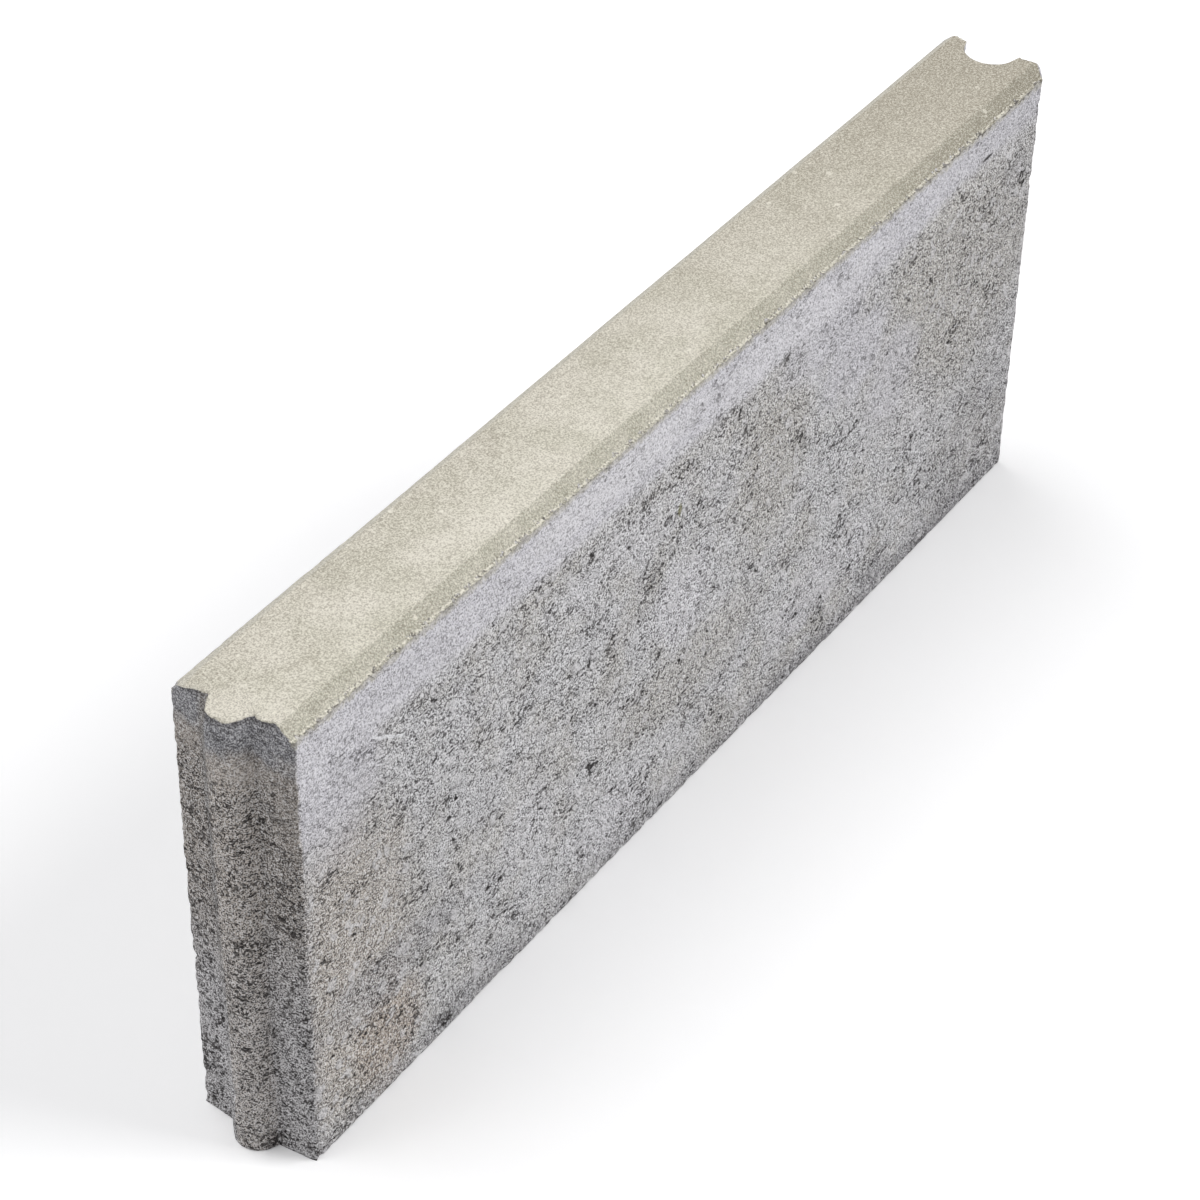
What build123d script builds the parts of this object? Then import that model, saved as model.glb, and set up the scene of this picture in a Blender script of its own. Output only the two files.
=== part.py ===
from build123d import *
import os

# A concrete kerb stone for lawns and paths, pressed in one piece in a steel mould. It
# stands on its long narrow bed. A round tongue on one end enters the round groove of the
# next stone, and both long top edges are chamfered.
#
# Millimetres. +X runs along the stone to its grooved end, -Y is the face seen in the
# photograph and +Z is up. The origin is the middle of the bed, halfway between the ends.

# Overall size, without the tongue
BODY_LENGTH = 500.0
HEIGHT = 200.0
WIDTH = 50.0

# Chamfer along both long top edges
CHAMFER_RUN = 6.5
CHAMFER_DROP = 4.5

# Joint: the tongue on the -X end, and how much larger the groove on the +X end is
TONGUE_WIDTH = 18.5
TONGUE_REACH = 8.0
JOINT_SIDE_GAP = 2.25
JOINT_END_GAP = 3.0

# The ends fall back slightly from the joint to the faces, so that a row can curve
END_SETBACK = 1.5

half_length = BODY_LENGTH / 2
half_width = WIDTH / 2
half_tongue = TONGUE_WIDTH / 2
half_groove = half_tongue + JOINT_SIDE_GAP
groove_depth = TONGUE_REACH + JOINT_END_GAP

with BuildPart() as kerb_stone:
    # The outline from above, with the tongue and the groove over the full height
    with BuildSketch(Plane.XY):
        with BuildLine():
            Polyline(
                (-half_length, half_tongue),
                (-half_length + END_SETBACK, half_width),
                (half_length - END_SETBACK, half_width),
                (half_length, half_groove),
            )
            ThreePointArc(
                (half_length, half_groove),
                (half_length - groove_depth, 0),
                (half_length, -half_groove),
            )
            Polyline(
                (half_length, -half_groove),
                (half_length - END_SETBACK, -half_width),
                (-half_length + END_SETBACK, -half_width),
                (-half_length, -half_tongue),
            )
            ThreePointArc(
                (-half_length, -half_tongue),
                (-half_length - TONGUE_REACH, 0),
                (-half_length, half_tongue),
            )
        make_face()
    extrude(amount=HEIGHT)

    # Both long top edges are cut away by one triangle and its mirror image
    with BuildSketch(Plane.YZ.offset(-half_length)) as edge_cut:
        with BuildLine():
            Polyline(
                (half_width, HEIGHT - CHAMFER_DROP),
                (half_width, HEIGHT),
                (half_width - CHAMFER_RUN, HEIGHT),
                close=True,
            )
        make_face()
        mirror(about=Plane.YZ)
    extrude(amount=BODY_LENGTH, mode=Mode.SUBTRACT)

kerb_stone.part.label = "kerb_stone"

os.makedirs("parts", exist_ok=True)
export_step(kerb_stone.part, "parts/kerb_stone.step")
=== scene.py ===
import math

import bmesh
import bpy
import numpy as np
from mathutils import Matrix, Vector, noise


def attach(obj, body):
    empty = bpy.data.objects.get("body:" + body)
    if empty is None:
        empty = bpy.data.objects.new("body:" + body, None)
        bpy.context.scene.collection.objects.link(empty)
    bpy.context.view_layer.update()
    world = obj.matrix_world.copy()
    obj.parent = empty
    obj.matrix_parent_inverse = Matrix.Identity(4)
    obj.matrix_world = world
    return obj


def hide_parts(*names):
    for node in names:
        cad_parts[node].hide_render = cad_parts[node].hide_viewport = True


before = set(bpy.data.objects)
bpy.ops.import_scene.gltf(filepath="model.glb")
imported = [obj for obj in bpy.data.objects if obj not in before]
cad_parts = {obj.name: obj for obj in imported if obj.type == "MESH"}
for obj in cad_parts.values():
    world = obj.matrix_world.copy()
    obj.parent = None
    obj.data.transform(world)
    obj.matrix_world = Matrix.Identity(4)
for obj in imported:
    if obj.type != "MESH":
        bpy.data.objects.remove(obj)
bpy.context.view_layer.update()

# The camera: the photograph's viewing angle, from in front of the tongue end and above
# the stone, through a long lens.
LENS_MM, SENSOR_MM = 99.55, 36.0
CAMERA_PLACE = Vector((-0.8431, -0.52697, 0.88841))
CAMERA_RIGHT = Vector((0.55746, -0.83006, 0.01545)).normalized()
CAMERA_UP = Vector((0.519226, 0.363107, 0.773665))
NEAREST_SEEN = 0.01

camera = bpy.data.objects.new("camera", bpy.data.cameras.new("camera"))
camera.data.sensor_width = SENSOR_MM
camera.data.lens = LENS_MM
camera.data.clip_start = NEAREST_SEEN
camera_back = CAMERA_RIGHT.cross(CAMERA_UP).normalized()
turn = Matrix((CAMERA_RIGHT, camera_back.cross(CAMERA_RIGHT), camera_back)).transposed()
camera.matrix_world = Matrix.Translation(CAMERA_PLACE) @ turn.to_4x4()
bpy.context.scene.collection.objects.link(camera)
bpy.context.scene.camera = camera


# The stone: one casting of semi-dry concrete, pressed in a steel mould. Its planes are a
# little uneven, its sides are open and pitted, its top is close and fine, and the edges
# where the mould's parts met are ragged with flash or crumbled.
MM = 0.001
LENGTH, WIDTH, HEIGHT = 500.0, 50.0, 200.0
HALF_LENGTH, HALF_WIDTH = LENGTH / 2, WIDTH / 2
CHAMFER_RUN, CHAMFER_DROP = 6.5, 4.5
TONGUE_HALF, TONGUE_REACH = 9.25, 8.0
GROOVE_HALF, GROOVE_DEPTH = 11.5, 11.0
END_SETBACK = 1.5
FOOT = HEIGHT - CHAMFER_DROP  # where the chamfers meet the faces
SHOULDER = HALF_LENGTH - END_SETBACK  # where the ends meet the faces
JOINT_ZONE = 12.0  # within this half width the grid stays straight up to the top
ON_LINE = 0.1  # a grid point this near to a line is on it


def grid_lines(*spans):
    """Grid lines across one side of the stone, from (start, end, steps) spans, in mm."""
    steps = [np.linspace(a, b, n, endpoint=False) for a, b, n in spans]
    return np.append(np.concatenate(steps), spans[-1][1])


def ramp(value, low, high):
    """0 up to low, 1 from high and straight between; high below low turns it round."""
    return np.clip((value - low) / (high - low), 0, 1)


def hump(value, middle, spread):
    """1 at the middle, falling smoothly to 0 around it."""
    return np.exp(-(((value - middle) / spread) ** 2))


def humps(value, places):
    """Several humps added up, each given as (middle, spread, height)."""
    return sum(height * hump(value, middle, spread) for middle, spread, height in places)


def arc_height(across, half, rise):
    """Height of a round profile of that half width and rise, at a distance across it."""
    radius = (half**2 + rise**2) / (2 * rise)
    height = np.sqrt(np.maximum(radius**2 - across**2, 0)) - (radius - rise)
    return np.where(across < half, np.maximum(height, 0), 0)


def setback(across, half):
    """How far an end falls back between the joint and the stone's face."""
    return END_SETBACK * ramp(across, half, HALF_WIDTH)


def skin(numbers):
    """Four-sided faces over a two-way table of vertex numbers."""
    corners = numbers[:-1, :-1], numbers[1:, :-1], numbers[1:, 1:], numbers[:-1, 1:]
    return np.stack(corners, -1).reshape(-1, 4)


lines_x = grid_lines((-HALF_LENGTH, -243, 7), (-243, 243, 252), (243, HALF_LENGTH, 7))
lines_y = grid_lines(
    (-HALF_WIDTH, -JOINT_ZONE, 8), (-JOINT_ZONE, -7, 6), (-7, 7, 7), (7, JOINT_ZONE, 6),
    (JOINT_ZONE, HALF_WIDTH, 8),
)
lines_z = grid_lines(
    (0, 2, 2), (2, 184, 92), (184, 193, 5), (193, FOOT, 4), (FOOT, 196.5, 2),
    (196.5, HEIGHT, 4),
)
table = (len(lines_x), len(lines_y), len(lines_z))
on_skin = np.ones(table, bool)
on_skin[1:-1, 1:-1, 1:-1] = False
numbers = np.full(table, -1)
numbers[on_skin] = np.arange(on_skin.sum())
i, j, k = np.nonzero(on_skin)
x, y, z = lines_x[i], lines_y[j], lines_z[k]

# the chamfers squeeze the grid in towards the joint zone
half_here = HALF_WIDTH - CHAMFER_RUN * ramp(z, FOOT, HEIGHT)
beyond = np.maximum(np.abs(y) - JOINT_ZONE, 0)
squeeze = (half_here - JOINT_ZONE) / (HALF_WIDTH - JOINT_ZONE)
y = np.sign(y) * (np.minimum(np.abs(y), JOINT_ZONE) + beyond * squeeze)

# the ends take the shape of the tongue and of the groove
across = np.abs(y)
low_x = -HALF_LENGTH + setback(across, TONGUE_HALF)
low_x -= arc_height(across, TONGUE_HALF, TONGUE_REACH)
high_x = HALF_LENGTH - setback(across, GROOVE_HALF)
high_x -= arc_height(across, GROOVE_HALF, GROOVE_DEPTH)
x = low_x + (x / LENGTH + 0.5) * (high_x - low_x)

faces = np.concatenate([
    skin(numbers[0]), skin(numbers[-1])[:, ::-1],
    skin(numbers[:, 0])[:, ::-1], skin(numbers[:, -1]),
    skin(numbers[:, :, 0]), skin(numbers[:, :, -1])[:, ::-1],
])[:, ::-1]
stone_mesh = bpy.data.meshes.new("kerb_stone")
stone_mesh.from_pydata(np.stack([x, y, z], 1) * MM, [], faces.tolist())

# a finer grid along the foot of each chamfer, where the edge is ragged
RAGGED_LOW, RAGGED_HIGH, RAGGED_OUT = 193, 198, 21
cast = bmesh.new()
cast.from_mesh(stone_mesh)
ragged_edges = []
for edge in cast.edges:
    a, b = (v.co / MM for v in edge.verts)
    lengthwise = abs(a.x - b.x) > 1 and abs(a.z - b.z) < ON_LINE
    if lengthwise and RAGGED_LOW < a.z < RAGGED_HIGH and abs(a.y) > RAGGED_OUT:
        ragged_edges.append(edge)
bmesh.ops.subdivide_edges(cast, edges=ragged_edges, cuts=2, use_grid_fill=True)
cast.to_mesh(stone_mesh)
cast.free()


def vertex_rows(values, name):
    """One row of three numbers for each vertex of the stone."""
    flat = np.zeros(len(values) * 3, np.float32)
    values.foreach_get(name, flat)
    return flat.reshape(-1, 3)


def rough(place, size, elsewhere=(0, 0, 0)):
    """Noise from -1 to 1, with lumps of about that size in mm."""
    return noise.noise(Vector(place) / size + Vector(elsewhere))


points = vertex_rows(stone_mesh.vertices, "co").astype(float) / MM
normals = vertex_rows(stone_mesh.vertex_normals, "vector")
x, y, z = points.T
across = np.abs(y)
moved = np.zeros_like(points)

# broad waves in every plane, then lumps and pits where the concrete is open
WAVE_DEPTH, WAVE_SIZE = 0.2, 60
LUMP_DEPTH, LUMP_SIZE, SMALL_LUMP_SIZE = 0.22, 7, 3.4
PIT_DEPTH, PIT_SIZE, SMALL_PIT_SIZE = 2.2, 4.5, 2.1
PITS_START = 0.45
TOP_OPENNESS = 0.2
openness = np.where(z > FOOT + ON_LINE, TOP_OPENNESS, 1.0 - 0.5 * ramp(z, 170, 188))
for n in range(len(points)):
    point = Vector(points[n])
    flow = Vector((point.x * 0.6, point.y, point.z))
    wave = WAVE_DEPTH * rough(point, WAVE_SIZE)
    lumps = LUMP_DEPTH * rough(flow, LUMP_SIZE)
    lumps += LUMP_DEPTH * rough(flow, SMALL_LUMP_SIZE, (7, 3, 1))
    hollow = rough(flow, PIT_SIZE, (31, 17, 5)) + 0.5 * rough(flow, SMALL_PIT_SIZE)
    pit = PIT_DEPTH * max(hollow - PITS_START, 0)
    moved[n] = Vector(normals[n]) * (wave + openness[n] * (lumps - pit))

# the tongue end's upper edge is worn back, most at the tongue's roots; what differs
# across the stone is given as (middle, spread, how much more)
END_WEAR = 1.3
ROOT_WEAR = ((8.2, 1.9, 2.9),)
END_WEAR_PLACES = (
    (0, 5, 0.7), (-17, 2.2, 1.1), (11.5, 1.6, 0.7), (-13.3, 1.5, -0.6), (19, 3.5, -2.1)
)
WORN_FROM, WORN_TO, WORN_ABOVE = -HALF_LENGTH - 2, -HALF_LENGTH + 8, 192.5
WEAR_LEAST, WEAR_MOST = -0.8, 6
CRUMBLE_WIDTH, CRUMBLE_HEIGHT = 1.6, 2.5
wear_reach = (1 - ramp(x, WORN_FROM, WORN_TO)) * ramp(z, WORN_ABOVE, HEIGHT) ** 2
wear = END_WEAR + humps(across, ROOT_WEAR) + humps(y, END_WEAR_PLACES)
crumble = np.array([
    noise.noise(Vector((0, point[1] / CRUMBLE_WIDTH, point[2] / CRUMBLE_HEIGHT)))
    for point in points
])
moved[:, 0] += wear_reach * np.clip(wear * (1 + 0.8 * crumble), WEAR_LEAST, WEAR_MOST)

# that edge is also lower, most towards its back corner
END_DROP, CORNER_DROP = 0.5, 0.9
moved[:, 2] -= wear_reach * (1.9 * hump(y, 19, 4) + END_DROP)
moved[:, 2] -= CORNER_DROP * (x < -246) * ramp(y, 20, 24) * ramp(z, 190, FOOT)

# a lip of flash stands around the upper edge of the groove end
LIP, LIP_MOST = 1.9, 5
LIP_PLACES = ((-21.5, 4, 2.9), (10, 3, -1.9), (19, 2.5, 2.2))
LIP_LENGTH, LIP_LOW, LIP_HIGH = 5, 194.5, 198
lip_reach = (1 - ramp(HALF_LENGTH - x, 0, LIP_LENGTH)) * ramp(z, LIP_LOW, LIP_HIGH)
lip = LIP + humps(y, LIP_PLACES)
moved[:, 0] += lip_reach * np.clip(lip * (1 + 0.4 * crumble), 0, LIP_MOST)

# ragged flash stands along the foot of the front chamfer, with the side undercut below
# it, and the foot of the back chamfer is rubbed round
FLASH, FLASH_LOWEST, FLASH_HIGHEST = 0.5, -0.6, 1.7
FLASH_WAVES = ((11, 0.6), (3.1, 1.1), (1.3, 1.3))  # length and height
FLASH_END, FLASH_FADE = 244, 239  # it dies out before the groove end
ROUNDING, ROUNDING_REACH = 0.8, 2.3
UNDERCUT_LOW, UNDERCUT_HIGH = 193.3, 194.4
SLOPE_LOW, SLOPE_HIGH = 196.3, 196.7
near_foot = (z > UNDERCUT_LOW) & (z < SLOPE_HIGH)
for n in np.nonzero(near_foot & (across > HALF_WIDTH - CHAMFER_RUN / 2))[0]:
    off_foot = abs(z[n] - FOOT)
    if y[n] > 0:
        rounded = ROUNDING + 0.6 * x[n] / LENGTH + 1.2 * ramp(x[n], 236, 248)
        rounded *= 1 - min(off_foot / ROUNDING_REACH, 1)
        moved[n] += (0, -rounded, -rounded)
        continue
    along = (x[n], 0, 0)
    fin = sum((height * rough(along, size) for size, height in FLASH_WAVES), FLASH)
    fin = min(max(fin, FLASH_LOWEST), FLASH_HIGHEST)
    fin *= max(ramp(x[n], FLASH_END, FLASH_FADE), 0.1)
    if off_foot < ON_LINE:
        moved[n] = (0.2 * fin, -0.6 * fin, 0.6 * fin)
    elif z[n] < FOOT:
        undercut = 0.4 if z[n] > UNDERCUT_HIGH else 0.1
        moved[n] += (0, undercut * max(fin, 0), 0)
    elif z[n] < SLOPE_LOW:
        moved[n] += (0, 0.15, -0.15)

# the upright edges are chipped, with two nicks in the back one of the tongue end
NICK_HEIGHTS, NICK_SPREAD, NICK_DEPTH = (93, 53), 1.5, 0.7
EDGE_RUB, DEEPEST_CHIP = 0.3, 0.95
CHIP_HEIGHT, CHIP_DEPTH = 4, 0.7
SMALL_CHIP_HEIGHT, SMALL_CHIP_DEPTH = 1.5, 0.5
corner = (across > HALF_WIDTH - ON_LINE) & (np.abs(x) > SHOULDER - ON_LINE) & (z < FOOT)
for n in np.nonzero(corner)[0]:
    edge = 40 * math.copysign(1, x[n]) + 20 * math.copysign(1, y[n])  # unlike for each
    big = noise.noise(Vector((edge, 0, z[n] / CHIP_HEIGHT)))
    small = noise.noise(Vector((0, edge, z[n] / SMALL_CHIP_HEIGHT)))
    chip = EDGE_RUB + CHIP_DEPTH * max(big, 0) + SMALL_CHIP_DEPTH * max(small, 0)
    if x[n] < 0 < y[n]:
        nicks = sum(hump(z[n], height, NICK_SPREAD) for height in NICK_HEIGHTS)
        chip += NICK_DEPTH * nicks
    chip = min(chip, DEEPEST_CHIP) * (1.0 if x[n] < 0 else 0.4 * ramp(z[n], 194, 182))
    moved[n] += (-math.copysign(chip, x[n]), -math.copysign(0.8 * chip, y[n]), 0)

# concrete has crumbled off beside those edges, least at the groove end
CRUMB_REACH, CRUMB_SIZE, CRUMB_PATCH_SIZE = 3.2, 2.6, 7
off_corner = np.hypot(np.maximum(SHOULDER - np.abs(x), 0), HALF_WIDTH - across)
beside = (off_corner < CRUMB_REACH) & (off_corner > 0.2) & (z < FOOT)
for n in np.nonzero(beside)[0]:
    crumb = rough(points[n], CRUMB_SIZE) + 0.6 * rough(points[n], CRUMB_PATCH_SIZE)
    crumb = max(crumb - 0.05, 0) * (1 - off_corner[n] / CRUMB_REACH)
    crumb *= 0.4 if x[n] > 0 else 1.0 + 1.2 * ramp(z[n], 185, 165)
    moved[n] += (-math.copysign(crumb, x[n]), -math.copysign(1.5 * crumb, y[n]), 0)

# the edges of the bed are chipped too, and nothing goes below the bed
BED_RUB, BED_CHIP_DEPTH, BED_CHIP_SIZE = 0.2, 0.9, 3
on_side = (across > HALF_WIDTH - ON_LINE) | (np.abs(x) > HALF_LENGTH - ON_LINE)
for n in np.nonzero((z < ON_LINE) & on_side)[0]:
    here = Vector((x[n] / BED_CHIP_SIZE, y[n] / BED_CHIP_SIZE, 9))
    chip = BED_RUB + BED_CHIP_DEPTH * max(noise.noise(here), 0)
    moved[n] = (0, -math.copysign(chip if across[n] > 24 else 0, y[n]), chip)
moved[:, 2] = np.where(z < ON_LINE, np.maximum(moved[:, 2], 0), moved[:, 2])

stone_mesh.vertices.foreach_set("co", ((points + moved) * MM).astype(np.float32).ravel())
stone_mesh.update()
stone_mesh.shade_smooth()
stone = bpy.data.objects.new("kerb_stone_cast", stone_mesh)
bpy.context.scene.collection.objects.link(stone)
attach(stone, "root")
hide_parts("kerb_stone")


# Its concrete: grey cement with sand and fine grit, in fine pale beige over the top and
# the chamfers. A paler lilac film closes the sides just below them, and darker, warmer
# patches and open pores lie lower down.
class Signal:
    """A socket in a material. Arithmetic on it adds Math nodes."""

    def __init__(self, tree, socket=None):
        self.tree, self.socket = tree, socket

    def node(self, kind, settings, inputs, output=0):
        made = self.tree.nodes.new(kind)
        for name, value in settings.items():
            setattr(made, name, value)
        for name, value in inputs.items():
            if isinstance(value, Signal):
                self.tree.links.new(value.socket, made.inputs[name])
            else:
                made.inputs[name].default_value = value
        return Signal(self.tree, made.outputs[output])

    def math(self, operation, a, b=0.0):
        return self.node("ShaderNodeMath", {"operation": operation}, {0: a, 1: b})

    def __add__(self, other):
        return self.math("ADD", self, other)

    __radd__ = __add__

    def __sub__(self, other):
        return self.math("SUBTRACT", self, other)

    def __rsub__(self, other):
        return self.math("SUBTRACT", other, self)

    def __mul__(self, other):
        return self.math("MULTIPLY", self, other)

    __rmul__ = __mul__

    def __abs__(self):
        return self.math("ABSOLUTE", self)

    def most(self, other):
        """Whichever of the two is larger."""
        return self.math("MAXIMUM", self, other)

    def rise(self, low, high):
        """0 below low, 1 above high and smooth between; high below low turns it round."""
        ends = {"Value": self, "From Min": low, "From Max": high}
        return self.node("ShaderNodeMapRange", {"interpolation_type": "SMOOTHSTEP"}, ends)

    def grain(self, size, detail=0.0, roughness=0.5):
        """Noise from 0 to 1 over this place, with grains of about that size in mm."""
        made = {"Vector": self, "Scale": 1 / size, "Detail": detail, "Roughness": roughness}
        return self.node("ShaderNodeTexNoise", {}, made)

    def stretched(self, by):
        """This place with each direction multiplied."""
        return self.node("ShaderNodeVectorMath", {"operation": "MULTIPLY"}, {0: self, 1: by})

    def part(self, axis):
        """One direction of this place."""
        return self.node("ShaderNodeSeparateXYZ", {}, {"Vector": self}, axis)

    def blend(self, amount, first, second, kind="MIX"):
        """The first colour where amount is 0 and the second where it is 1."""
        made = {0: amount, 6: first, 7: second}
        return self.node("ShaderNodeMix", {"data_type": "RGBA", "blend_type": kind}, made, 2)

    def painted(self, tone, *coats):
        """A tone with coats laid over it in turn, each given as (how much, colour)."""
        for amount, colour in coats:
            tone = self.blend(amount, tone, colour)
        return tone


def paint(red, green, blue):
    """A colour from the 0 to 255 values that a paint chart gives."""
    return tuple(
        c / 12.92 if c <= 0.04045 else ((c + 0.055) / 1.055) ** 2.4
        for c in (red / 255, green / 255, blue / 255)
    ) + (1.0,)


CEMENT_GREY = paint(230, 229, 231)
CEMENT_FILM = paint(229, 227, 233)
CEMENT_PALE = paint(241, 239, 243)
CEMENT_WARM = paint(209, 204, 195)
CEMENT_RUST = paint(200, 180, 161)
CEMENT_DAMP_AND_SHADE = paint(160, 158, 161)
END_GREY = paint(216, 213, 214)
END_BROWN = paint(187, 178, 169)
END_TOP = paint(150, 150, 154)
END_ROOT_SHADE = paint(140, 135, 130)
TONGUE_BROWN_AND_LIT = paint(222, 212, 202)
# painted shade, for crevices and pits and for the hollows under the flash and the worn top
CREVICE_SHADE = paint(70, 66, 64)
PIT_SHADE = paint(48, 45, 44)
PEBBLE = paint(234, 232, 234)
GRIT_PALE = paint(252, 251, 252)
GRIT_DARK = paint(74, 71, 71)
FINE_BEIGE = paint(199, 195, 180)
FINE_PALE = paint(217, 212, 199)
FINE_BROWN = paint(168, 161, 146)
FINE_SAND_DARK = paint(122, 115, 102)
FINE_SAND_PALE_AND_HIGHLIGHT = paint(238, 234, 220)
FRONT_CHAMFER = paint(228, 229, 226)
BACK_CHAMFER_PAINTED_LIGHT = paint(210, 206, 193)
FLASH_SHADE = paint(196, 191, 174)
SCRATCH = paint(250, 250, 252)
SMEAR_OLIVE = paint(150, 148, 112)

# Patches and marks on the front face: (x, z, half length, half height, strength), in mm
FILM_STREAKS = (
    (84, 168, 44, 24, 0.9), (106, 142, 28, 26, 0.9), (136, 112, 24, 28, 0.8),
    (-228, 165, 30, 40, 1),
)
GLOW_PATCHES = ((-60, 185, 70, 9, 0.9), (60, 181, 80, 12, 0.6))
PALE_PATCHES = (
    (-20, 100, 24, 26, 1), (88, 37, 46, 18, 0.8), (-66, 22, 34, 18, 0.8),
    (-115, 62, 24, 28, 0.4), (158, 82, 20, 20, 0.5), (-55, 148, 60, 14, 0.5),
)
WARM_PATCHES = (
    (-222, 70, 42, 80, 0.9), (185, 130, 75, 62, 0.8), (45, 130, 30, 50, 0.7),
    (-15, 62, 55, 20, 0.6), (-60, 162, 120, 10, 0.25),
)
RUSTY_PATCHES = ((-206, 26, 24, 32, 0.65), (-226, 75, 40, 80, 0.33))
DAMP_PATCHES = (
    (203, 14, 16, 16, 0.7), (137, 12, 14, 12, 0.6), (-150, 4, 45, 14, 0.5),
    (232, 160, 12, 10, 0.4), (215, 30, 50, 36, 0.34), (-200, 58, 50, 16, 0.6),
    (-190, 118, 62, 75, 0.13),
)
# a long pit, painted dark for the shade in it
LONG_PIT_SHADE = (204.5, 180.5, 5.5, 0.9, 0.9)
OLIVE_SMEAR = (-22.5, 144.7, 1.5, 3.5, 0.8)
SCRATCH_X, SCRATCH_Z = -208.7, 169.1
SCRATCH_RUN, SCRATCH_FALL = 0.835, 0.55
SCRATCH_LENGTH = 20.5

# Heights between which one finish of the sides gives way to the next, in mm
FILM_STARTS, FILM_WANDER = (166, 176), 9
PORES_CLOSE = (164, 178)
TOP_STARTS, CRUMBS_START = (195.2, 195.6), (195.0, 195.4)
TOP_WANDER, TOP_FRAY = 4.4, 1.8
END_BROWN_STARTS, END_TOP_STARTS, END_WANDER = (60, 120), (176, 188), 40
DARKER_FOOT = (16, 2)

concrete = bpy.data.materials.new("pressed_concrete")
concrete.use_nodes = True
tree = concrete.node_tree
shader = tree.nodes["Principled BSDF"]
s = Signal(tree)

metres = s.node("ShaderNodeTexCoord", {}, {}, "Object")
place = metres.stretched((1000.0, 1000.0, 1000.0))
flow = metres.stretched((700.0, 750.0, 1000.0))
px, py, pz = place.part("X"), place.part("Y"), place.part("Z")
facing_up = s.node("ShaderNodeNewGeometry", {}, {}, "Normal").part("Z")
out_y = abs(py)
front = py.rise(-12, -20)
end = px.rise(-246, -248)

broad = place.grain(70, 2)
patches = place.grain(22, 3, 0.6)
clusters = flow.grain(11, 2, 0.6)
stones = place.grain(5.5, 1, 0.6)
lumps = flow.grain(2.8, 2, 0.6)
chips = place.grain(2.4, 1, 0.6)
hollows = flow.grain(1.4, 2, 0.7)
grit = flow.grain(1.0, 1, 0.6)
fine_grit = place.grain(1.0, 1, 0.7)
sand = place.grain(0.55)
PEBBLE_SPACING = 6
voronoi = {"Vector": place, "Scale": 1 / PEBBLE_SPACING}
off_pebble = s.node("ShaderNodeTexVoronoi", {"feature": "F1"}, voronoi)
pebbles = (2.2 * stones - 0.87 - off_pebble).rise(0, 0.08)


def spot(x, z, half_x, half_z, strength):
    """A soft patch on the face, up to that strength, with a ragged outline."""
    across, up = (px - x) * (1 / half_x), (pz - z) * (1 / half_z)
    spread = across * across + up * up + 1.6 * (patches - 0.5)
    return spread.rise(1.25, 0.2) * front * strength


def spots(places):
    """Several soft patches laid together."""
    total = spot(*places[0])
    for one in places[1:]:
        total = total.most(spot(*one))
    return total


# where the fine top begins, with a ragged line, and where the film closes the sides
edge_height = pz + TOP_WANDER * (chips - 0.5) + TOP_FRAY * (grit - 0.5)
crumbs = edge_height.rise(*CRUMBS_START) * out_y.rise(23.9, 24.4)
top = (edge_height.rise(*TOP_STARTS) * facing_up.rise(0.5, 0.7)).most(crumbs)
film_height = pz + FILM_WANDER * (patches - 0.5) - 8 * px.rise(130, 190)
film = film_height.rise(*FILM_STARTS).most(spots(FILM_STREAKS))
glow = spots(GLOW_PATCHES)
closed = 1 - 0.6 * film

# the broad tones of the sides, darker along the bed, and painted shade by the tongue end
# painted shade: the front darkens beside the tongue end's upright edge, where it turns into
# the shaded end
arris_shade = px.rise(-238, -250) * front * (pz + 30 * (patches - 0.5)).rise(150, 110)
side_tone = s.painted(
    CEMENT_GREY,
    ((patches + 0.5 * broad).rise(0.66, 0.95) * 0.6, CEMENT_WARM),
    (spots(WARM_PATCHES), CEMENT_WARM),
    (spots(PALE_PATCHES), CEMENT_PALE),
    (film, CEMENT_FILM),
    (glow, CEMENT_PALE),
    (px.rise(140, 240) * 0.2, CEMENT_DAMP_AND_SHADE),
    (spots(RUSTY_PATCHES), CEMENT_RUST),
    (spots(DAMP_PATCHES), CEMENT_DAMP_AND_SHADE),
    (pz.rise(*DARKER_FOOT) * (0.5 + 0.5 * px.rise(0, 60)), CEMENT_DAMP_AND_SHADE),
    (arris_shade * 0.5, CEMENT_DAMP_AND_SHADE),
)

# the tongue end is browner, with a dark top and painted shade along the tongue's roots
end_height = pz + END_WANDER * (patches - 0.5)
# painted shade in the recesses beside the tongue's back and front roots
back_root_shade = py.rise(14, 11) * py.rise(3.5, 5) * end_height.rise(70, 110)
front_root_shade = py.rise(-9.6, -10.6) * (0.45 - 0.3 * py.rise(-11, -13))
front_root_shade *= end_height.rise(186, 176)
# a paler brown over the tongue: partly its own tone, partly painted light on its crest and
# front flank
on_tongue = py.rise(4, 2.5) * py.rise(-10.5, -8.5) * end_height.rise(188, 174)
end_tone = s.painted(
    END_GREY,
    (end_height.rise(*END_BROWN_STARTS), END_BROWN),
    (end_height.rise(*END_TOP_STARTS), END_TOP),
    (back_root_shade.most(front_root_shade), END_ROOT_SHADE),
    (on_tongue * 0.7, TONGUE_BROWN_AND_LIT),
)

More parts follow.
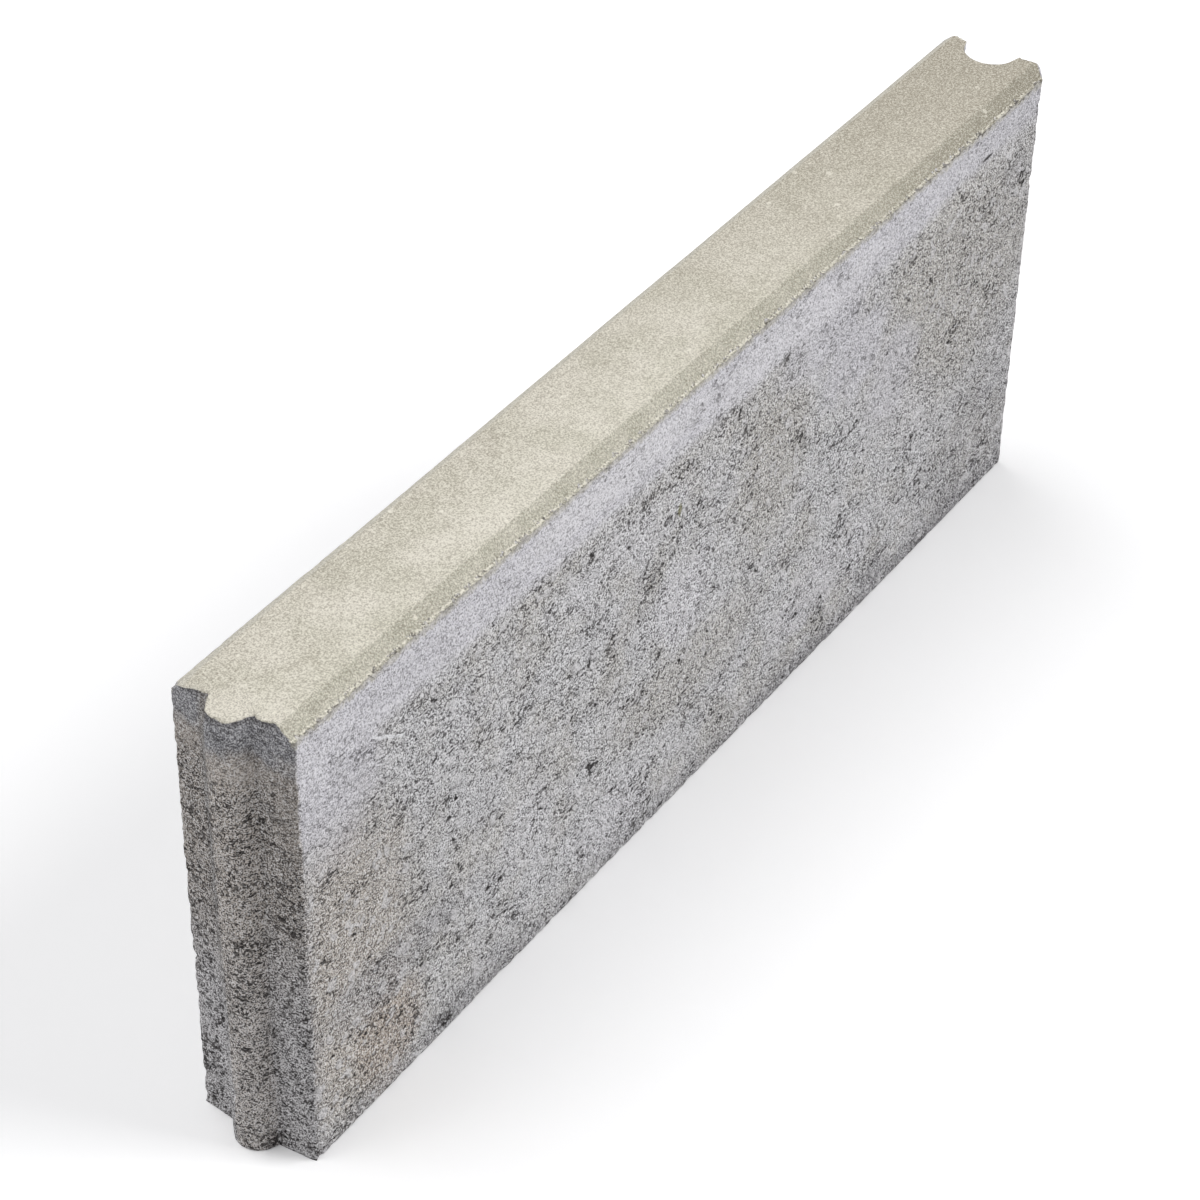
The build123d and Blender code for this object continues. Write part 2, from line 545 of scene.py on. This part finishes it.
# grit, sand, pebbles, crevices and pits lie over both, fewer where the film closes them
sand_share = 0.85 + 0.15 * end - 0.34 * film - 0.12 * glow
open_here = (0.46 - 0.1 * end) * (clusters - 0.5) - 0.045 * end
crevices = (hollows + open_here).rise(0.4, 0.315)
pits = (lumps + open_here).rise(0.31, 0.25)
side_tone = s.painted(
    s.blend(end, side_tone, end_tone),
    (grit.rise(0.52, 0.72) * 0.45, GRIT_PALE),
    (grit.rise(0.48, 0.3) * (0.6 - 0.25 * film), GRIT_DARK),
    (sand.rise(0.52, 0.68) * sand_share * 0.7, GRIT_PALE),
    (sand.rise(0.48, 0.32) * sand_share, GRIT_DARK),
    (pebbles * closed * (0.5 - 0.4 * end), PEBBLE),
    # painted shade: crevices and pits are coloured dark for the shade that falls in them
    (crevices * closed * 0.8, CREVICE_SHADE),
    (pits * closed * (0.7 - 0.15 * end), PIT_SHADE),
)

# face marks, with painted shade in a long pit, under the flash and under the tongue's worn
# top
from_x, from_z = px - SCRATCH_X, pz - SCRATCH_Z
along = from_x * SCRATCH_RUN - from_z * SCRATCH_FALL
off = from_x * SCRATCH_FALL + from_z * SCRATCH_RUN + 3 * (patches - 0.5)
scratch = abs(off).rise(0.9, 0.3) * along.rise(-1, 1)
scratch *= along.rise(SCRATCH_LENGTH + 1, SCRATCH_LENGTH - 1)
at_face = out_y.rise(23.5, 24.2)
under_flash = edge_height.rise(193.9, 194.7) * at_face * stones.rise(0.42, 0.5)
side_tone = s.painted(
    side_tone,
    (scratch * front * 0.8, SCRATCH),
    (spot(*LONG_PIT_SHADE), PIT_SHADE),
    (spot(*OLIVE_SMEAR), SMEAR_OLIVE),
    (edge_height.rise(191.5, 194.5) * at_face * 0.55, FLASH_SHADE),
    (under_flash * (0.3 + 0.5 * px.rise(80, 220)), CREVICE_SHADE),
    (px.rise(-240, -244) * pz.rise(196, 199) * 0.5, CREVICE_SHADE),
)

# the top is browner towards the back and the groove end, and the front chamfer darker
sloped = facing_up.rise(0.97, 0.9)
top_tone = s.painted(
    FINE_BEIGE,
    (patches.rise(0.35, 0.65), FINE_PALE),
    (px.rise(-40, 300), FINE_BROWN),
    (py.rise(-12, 22) * 0.33, FINE_BROWN),
    (clusters.rise(0.52, 0.72) * 0.25, FINE_BROWN),
)
top_tone = s.blend(sloped * py.rise(-10, -14), top_tone, FRONT_CHAMFER, "MULTIPLY")
on_flash = (pz + 1.5 * (chips - 0.5)).rise(196.4, 195.9) * out_y.rise(22.9, 23.6)
flash_gap_shade = chips.rise(0.5, 0.42) * fine_grit.rise(0.6, 0.47)
specks = (0.9 * stones - 0.42 - off_pebble).rise(0, 0.05)
top_tone = s.painted(
    top_tone,
    # painted light: the back chamfer is painted paler to make up for the shade the lamps
    # leave on it
    (sloped * py.rise(10, 14), BACK_CHAMFER_PAINTED_LIGHT),
    (hollows.rise(0.3, 0.22) * 0.6, FINE_SAND_DARK),
    (fine_grit.rise(0.47, 0.3) * 0.34, FINE_SAND_DARK),
    (fine_grit.rise(0.55, 0.72) * 0.32, FINE_SAND_PALE_AND_HIGHLIGHT),
    (sand.rise(0.48, 0.32) * 0.36, FINE_SAND_DARK),
    (sand.rise(0.52, 0.68) * 0.42, FINE_SAND_PALE_AND_HIGHLIGHT),
    # on the flash: pale flecks, partly its crumbs and partly a painted highlight, and
    # painted shade in its gaps
    (on_flash * fine_grit.rise(0.42, 0.58) * 0.8, FINE_SAND_PALE_AND_HIGHLIGHT),
    (on_flash * flash_gap_shade * 0.75, CREVICE_SHADE),
    (specks * 0.5, FINE_SAND_PALE_AND_HIGHLIGHT),
)

tone = s.blend(top, side_tone, top_tone)
tree.links.new(tone.socket, shader.inputs["Base Color"])
shader.inputs["Roughness"].default_value = 0.95
shader.inputs["Specular IOR Level"].default_value = 0.2

# the relief too fine for the mesh, in mm: rough on the sides and fine on the top
rough_relief = (
    0.25 * sand + 0.5 * grit + 1.3 * lumps + 0.6 * stones
    - 0.7 * crevices - 1.1 * pits + 0.5 * pebbles
)
fine_relief = 0.12 * sand + 0.14 * grit
upright = 1 - facing_up.rise(0.5, 0.7)
relief = rough_relief * upright * (1 - 0.72 * pz.rise(*PORES_CLOSE)) + fine_relief
bump = s.node("ShaderNodeBump", {}, {"Strength": 1.0, "Distance": MM, "Height": relief})
tree.links.new(bump.socket, shader.inputs["Normal"])
stone_mesh.materials.append(concrete)


# The floor: plain white studio board that the stone stands on. It is white to the camera,
# its shadow is lightly lifted there, and it throws back half of the light it gets.
FLOOR_REACH = 4.0
WHITE, BLACK = (1, 1, 1, 1), (0, 0, 0, 1)
FLOOR_GREY = (0.5, 0.5, 0.5, 1)
SHADOW_LIFT = (0.1, 0.1, 0.1, 1)

floor_mesh = bpy.data.meshes.new("studio_floor")
floor_corners = [(-1, -1), (1, -1), (1, 1), (-1, 1)]
floor_mesh.from_pydata(
    [(a * FLOOR_REACH, b * FLOOR_REACH, 0) for a, b in floor_corners], [], [(0, 1, 2, 3)]
)
floor = bpy.data.objects.new("studio_floor", floor_mesh)
bpy.context.scene.collection.objects.link(floor)
floor_paint = bpy.data.materials.new("floor_paint")
floor_paint.use_nodes = True
f = Signal(floor_paint.node_tree)
seen = f.node("ShaderNodeLightPath", {}, {}, "Is Camera Ray")
floor_shader = f.tree.nodes["Principled BSDF"]
floor_tone = f.blend(seen, FLOOR_GREY, WHITE)
floor_glow = f.blend(seen, BLACK, SHADOW_LIFT)
f.tree.links.new(floor_tone.socket, floor_shader.inputs["Base Color"])
f.tree.links.new(floor_glow.socket, floor_shader.inputs["Emission Color"])
floor_shader.inputs["Emission Strength"].default_value = 1.0
floor_shader.inputs["Roughness"].default_value = 1.0
floor_shader.inputs["Specular IOR Level"].default_value = 0.0
floor_mesh.materials.append(floor_paint)


# The light: a broad soft lamp high in front of the stone's long face, a weaker one over
# its back, a faint one beyond the tongue end, and a pale room that fills the shade.
ROOM_GREY = (0.34, 0.34, 0.35, 1)


def soft_lamp(name, direction, strength, spread):
    """A distant lamp towards that direction, as soft as its spread in degrees."""
    lamp = bpy.data.objects.new(name, bpy.data.lights.new(name, "SUN"))
    lamp.data.energy = strength
    lamp.data.angle = math.radians(spread)
    lamp.rotation_euler = Vector(direction).to_track_quat("Z", "Y").to_euler()
    bpy.context.scene.collection.objects.link(lamp)


soft_lamp("front_lamp", (0.45, -0.64, 0.62), 1.75, 30)
soft_lamp("back_lamp", (-0.1, 0.45, 0.88), 1.25, 50)
soft_lamp("end_lamp", (-0.8, 0.35, 0.5), 0.35, 40)

room = bpy.data.worlds.new("pale_room")
room.use_nodes = True
bpy.context.scene.world = room
w = Signal(room.node_tree)
seen = w.node("ShaderNodeLightPath", {}, {}, "Is Camera Ray")
room_tone = w.blend(seen, ROOM_GREY, WHITE)
background = room.node_tree.nodes["Background"]
room.node_tree.links.new(room_tone.socket, background.inputs["Color"])

bpy.context.scene.view_settings.view_transform = "Standard"
